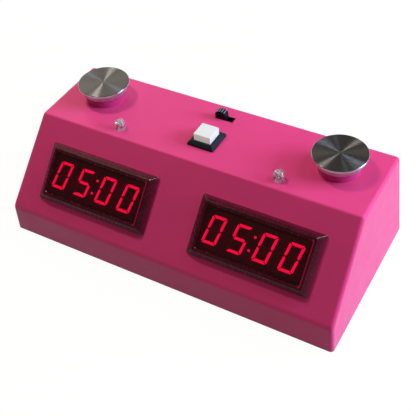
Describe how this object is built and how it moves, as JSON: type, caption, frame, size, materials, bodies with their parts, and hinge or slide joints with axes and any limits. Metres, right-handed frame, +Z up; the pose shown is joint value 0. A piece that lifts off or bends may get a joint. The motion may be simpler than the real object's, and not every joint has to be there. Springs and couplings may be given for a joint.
{
  "type": "digital chess clock",
  "caption": "Sloping plastic chess clock with red digit displays, round metal player buttons, lamps, a square mode button, a slide switch and a battery door below.",
  "frame": {"origin": "on the table, under the middle of the case's base", "axes": "+X along the case to the right player's button, +Y to the back, +Z up; the displays face -Y and up"},
  "size_m": [0.18, 0.088, 0.0638],
  "materials": {
    "case_plastic": "satin moulded magenta-pink plastic",
    "base_plastic": "satin moulded plastic",
    "foot_rubber": "matt black rubber",
    "bezel_plastic": "dark red-black glossy plastic",
    "filter_plastic": "smoked red clear plastic",
    "module_plastic": "near-black plastic",
    "segment_lit": "lit red diffuser",
    "segment_dark": "unlit red diffuser",
    "pin_metal": "gilt pins",
    "board_laminate": "green solder mask",
    "screw_steel": "zinc-plated steel",
    "lamp_resin": "water-clear resin",
    "cap_metal": "turned steel with a circular grain",
    "inner_plastic": "black plastic",
    "actuator_plastic": "white plastic",
    "mode_bezel_plastic": "black satin plastic",
    "mode_cap_plastic": "white satin plastic",
    "knob_plastic": "black plastic",
    "switch_metal": "stamped steel",
    "chip_plastic": "black epoxy",
    "can_metal": "drawn can",
    "sleeve_plastic": "shrink sleeve",
    "ribbon_pvc": "grey ribbon insulation",
    "cell_wrap": "plain metallic wrap",
    "lead_pvc": "flexible lead insulation"
  },
  "bodies": {
    "case": {"case_shell": "case_plastic", "base_plate": "base_plastic", "base_screws": "screw_steel", "rubber_feet": "foot_rubber", "left_bezel": "bezel_plastic", "right_bezel": "bezel_plastic", "left_filter": "filter_plastic", "right_filter": "filter_plastic", "left_display_module": "module_plastic", "right_display_module": "module_plastic", "left_lit_segments": "segment_lit", "right_lit_segments": "segment_lit", "left_dark_segments": "segment_dark", "right_dark_segments": "segment_dark", "display_pins": "pin_metal", "display_board": "board_laminate", "display_board_screws": "screw_steel", "control_board": "board_laminate", "control_board_screws": "screw_steel", "left_lamp": "lamp_resin", "right_lamp": "lamp_resin", "lamp_leads": "screw_steel", "left_button_spring": "screw_steel", "right_button_spring": "screw_steel", "left_button_guide": "inner_plastic", "right_button_guide": "inner_plastic", "left_button_switch": "inner_plastic", "right_button_switch": "inner_plastic", "mode_button_housing": "mode_bezel_plastic", "mode_button_spring": "screw_steel", "mode_button_terminals": "pin_metal", "power_switch_frame": "switch_metal", "power_switch_terminals": "pin_metal", "microcontroller": "chip_plastic", "crystal": "can_metal", "capacitor": "sleeve_plastic", "buzzer": "inner_plastic", "ribbon_headers": "inner_plastic", "ribbon_cable": "ribbon_pvc", "battery_tray": "inner_plastic", "tray_screws": "screw_steel", "batteries": "cell_wrap", "battery_contacts": "screw_steel", "battery_leads": "lead_pvc"},
    "mode_button": {"mode_button_cap": "mode_cap_plastic"},
    "power_knob": {"power_switch_knob": "knob_plastic"},
    "battery_door": {"battery_door": "base_plastic"},
    "left_button": {"left_button_cap": "cap_metal", "left_button_plunger": "inner_plastic", "left_cap_screw": "screw_steel", "left_switch_actuator": "actuator_plastic"},
    "right_button": {"right_button_cap": "cap_metal", "right_button_plunger": "inner_plastic", "right_cap_screw": "screw_steel", "right_switch_actuator": "actuator_plastic"}
  },
  "joints": [
    {"name": "left_button_press", "type": "slide", "parent": "case", "child": "left_button", "axis": [0, 0, -1], "range_m": [0, 0.001], "stiffness_N_per_m": 400, "springref_m": -0.004, "deforming": ["left_button_spring"]},
    {"name": "right_button_press", "type": "slide", "parent": "case", "child": "right_button", "axis": [0, 0, -1], "range_m": [0, 0.001], "stiffness_N_per_m": 400, "springref_m": -0.004, "deforming": ["right_button_spring"]},
    {"name": "mode_button_press", "type": "slide", "parent": "case", "child": "mode_button", "axis": [0, 0, -1], "range_m": [0, 0.002], "stiffness_N_per_m": 300, "springref_m": -0.002, "deforming": ["mode_button_spring"]},
    {"name": "power_switch_slide", "type": "slide", "parent": "case", "child": "power_knob", "axis": [1, 0, 0], "range_m": [0, 0.0038]},
    {"name": "battery_door_hinge", "type": "hinge", "parent": "case", "child": "battery_door", "pos_m": [0, -0.00375, 0.00275], "axis": [-1, 0, 0], "range_deg": [0, 90]}
  ]
}
